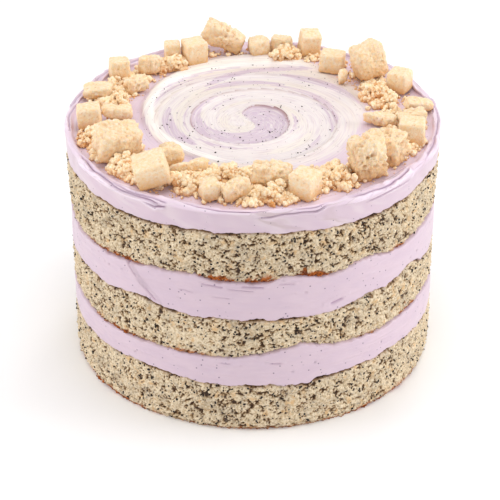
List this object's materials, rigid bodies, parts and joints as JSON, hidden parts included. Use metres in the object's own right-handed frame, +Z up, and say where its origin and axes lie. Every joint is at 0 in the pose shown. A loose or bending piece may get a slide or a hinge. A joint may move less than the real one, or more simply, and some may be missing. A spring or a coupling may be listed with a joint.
{
  "type": "layer cake",
  "caption": "Round naked layer cake: poppy-seed sponges with lilac buttercream between, a marbled swirl of icing on top and a wreath of shortbread cubes and crumbs.",
  "frame": {"origin": "centre of the bottom sponge's foot, on the surface that the cake stands on", "axes": "+Z up through the layers, -Y towards the viewer of the picture, +X to the viewer's right"},
  "size_m": [0.1542, 0.154, 0.1204],
  "materials": {
    "sponge": "open cream-coloured crumb with dark poppy seeds, browned at the feet",
    "buttercream": "soft satin lilac cream, marbled with white in the swirl",
    "shortbread": "dry golden biscuit with an open, crumbly face"
  },
  "bodies": {
    "root": {"sponge_1": "sponge", "filling_1": "buttercream", "sponge_2": "sponge", "filling_2": "buttercream", "sponge_3": "sponge", "icing_top": "buttercream", "cube_01": "shortbread", "cube_02": "shortbread", "cube_03": "shortbread", "cube_04": "shortbread", "cube_05": "shortbread", "cube_06": "shortbread", "cube_07": "shortbread", "cube_08": "shortbread", "cube_09": "shortbread", "cube_10": "shortbread", "chunk_01": "shortbread", "chunk_02": "shortbread", "chunk_03": "shortbread", "chunk_04": "shortbread", "chunk_05": "shortbread", "chunk_06": "shortbread", "chunk_07": "shortbread", "chunk_08": "shortbread", "chunk_09": "shortbread", "chunk_10": "shortbread", "chunk_11": "shortbread", "chunk_12": "shortbread", "chunk_13": "shortbread", "chunk_14": "shortbread", "chunk_15": "shortbread", "chunk_16": "shortbread", "chunk_17": "shortbread", "chunk_18": "shortbread", "chunk_19": "shortbread", "chunk_20": "shortbread", "crumble_01": "shortbread", "crumble_02": "shortbread", "crumble_03": "shortbread", "crumble_04": "shortbread", "crumble_05": "shortbread", "crumble_06": "shortbread", "crumble_07": "shortbread", "crumble_08": "shortbread", "crumble_09": "shortbread", "crumble_10": "shortbread", "crumble_11": "shortbread", "crumble_12": "shortbread"}
  },
  "joints": []
}
